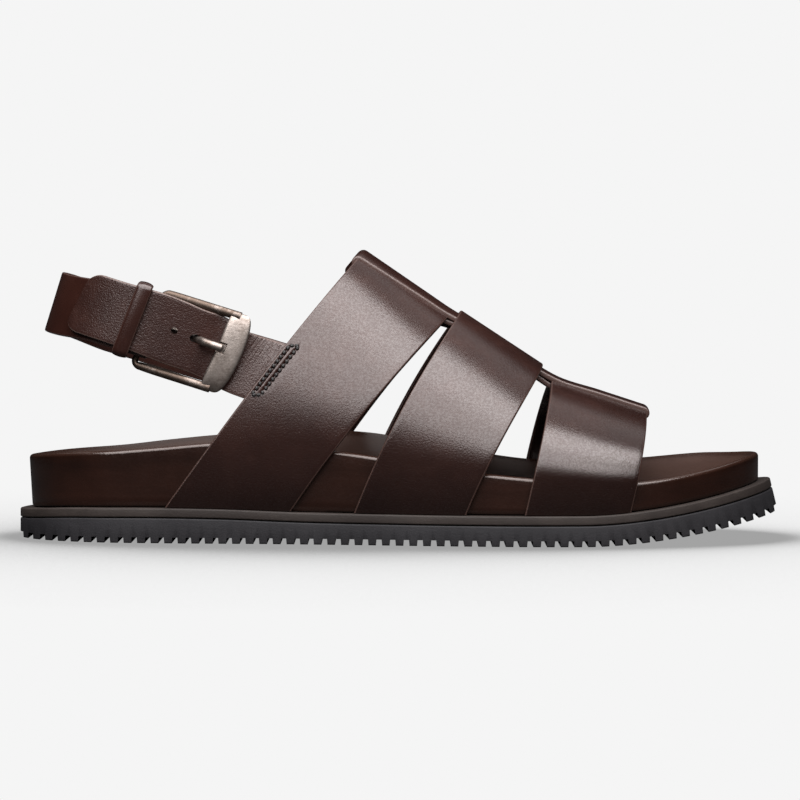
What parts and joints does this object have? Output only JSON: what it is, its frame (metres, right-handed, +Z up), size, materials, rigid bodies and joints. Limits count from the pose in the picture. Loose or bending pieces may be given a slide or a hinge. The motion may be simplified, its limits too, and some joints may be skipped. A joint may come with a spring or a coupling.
{
  "type": "fisherman sandal",
  "caption": "Right fisherman sandal in dark brown leather: broad cross straps joined by a centre strap, a buckled heel strap, a wrapped footbed and a ribbed rubber sole.",
  "frame": {"origin": "centre of the sandal's length and width, on the plane that its sole stands on", "axes": "+X towards the toe, +Y towards the medial side that faces the other foot, +Z up"},
  "size_m": [0.2895, 0.108, 0.1098],
  "materials": {
    "outsole_rubber": "matt charcoal moulded rubber",
    "midsole_rubber": "matt grey-brown dense foam rubber",
    "footbed_leather": "smooth burnished dark brown leather, semi-gloss",
    "upper_leather": "smooth dark brown leather with a fine grain, semi-gloss",
    "heel_strap_leather": "smooth dark brown leather with a fine grain, semi-gloss",
    "tab_leather": "smooth dark brown leather with a fine grain, semi-gloss",
    "keeper_leather": "smooth dark brown leather, semi-gloss",
    "frame_nickel": "antique nickel, worn bright on its raised edges",
    "prong_nickel": "antique nickel, worn bright"
  },
  "bodies": {
    "root": {"outsole": "outsole_rubber", "midsole": "midsole_rubber", "footbed": "footbed_leather", "upper": "upper_leather", "heel_strap": "heel_strap_leather", "buckle_tab": "tab_leather", "keeper": "keeper_leather", "buckle_frame": "frame_nickel", "buckle_prong": "prong_nickel"}
  },
  "joints": []
}
